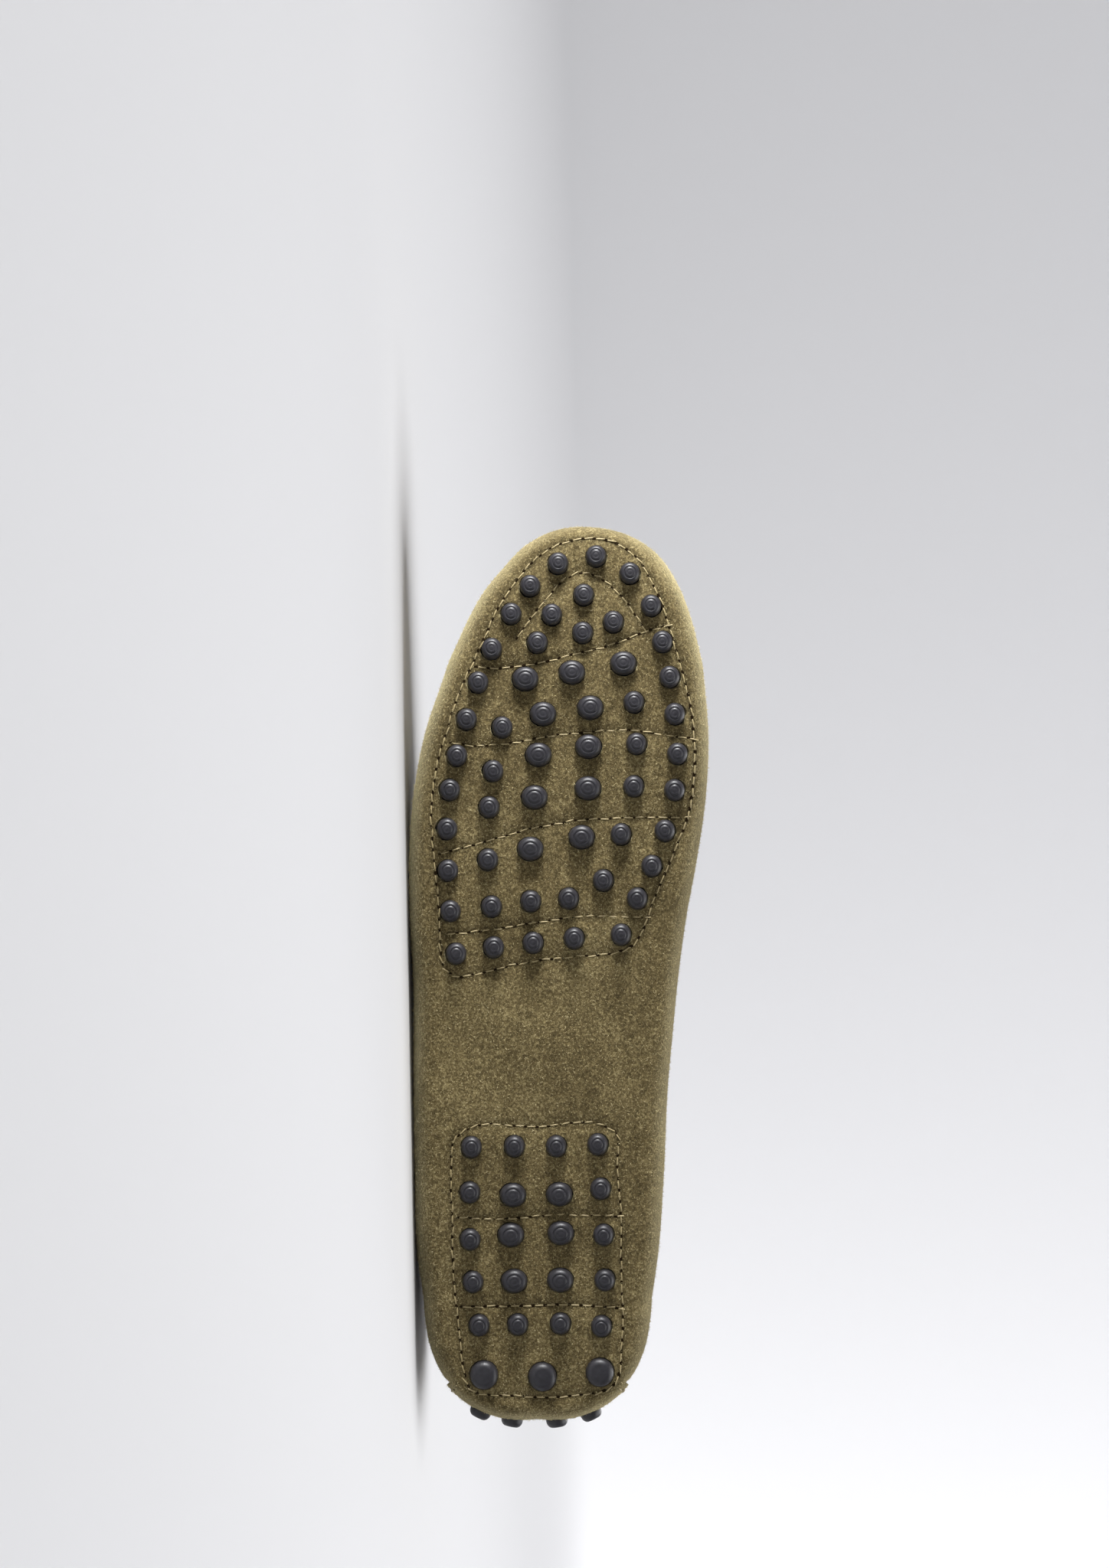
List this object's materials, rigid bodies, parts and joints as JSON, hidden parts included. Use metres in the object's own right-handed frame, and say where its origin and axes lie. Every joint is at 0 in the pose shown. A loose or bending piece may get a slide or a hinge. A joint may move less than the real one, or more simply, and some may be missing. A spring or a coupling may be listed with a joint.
{
  "type": "driving moccasin",
  "caption": "Slip-on driving moccasin in suede, lying on its side, with round rubber studs standing out through the sole and up the heel.",
  "frame": {"origin": "middle of the footprint that the shoe covers as it lies on its outer side, on the floor", "axes": "toe towards -X, inner side of the shoe up +Z, sole and studs facing -Y"},
  "size_m": [0.2908, 0.0842, 0.0972],
  "materials": {
    "suede": "khaki suede with a short nap, tan thread",
    "stud_rubber": "satin charcoal moulded rubber",
    "insole_leather": "smooth tan lining leather"
  },
  "bodies": {
    "root": {"upper": "suede", "apron": "suede", "forefoot_stud_plate": "stud_rubber", "heel_stud_plate": "stud_rubber", "heel_back_stud_plate": "stud_rubber", "insole": "insole_leather"}
  },
  "joints": []
}
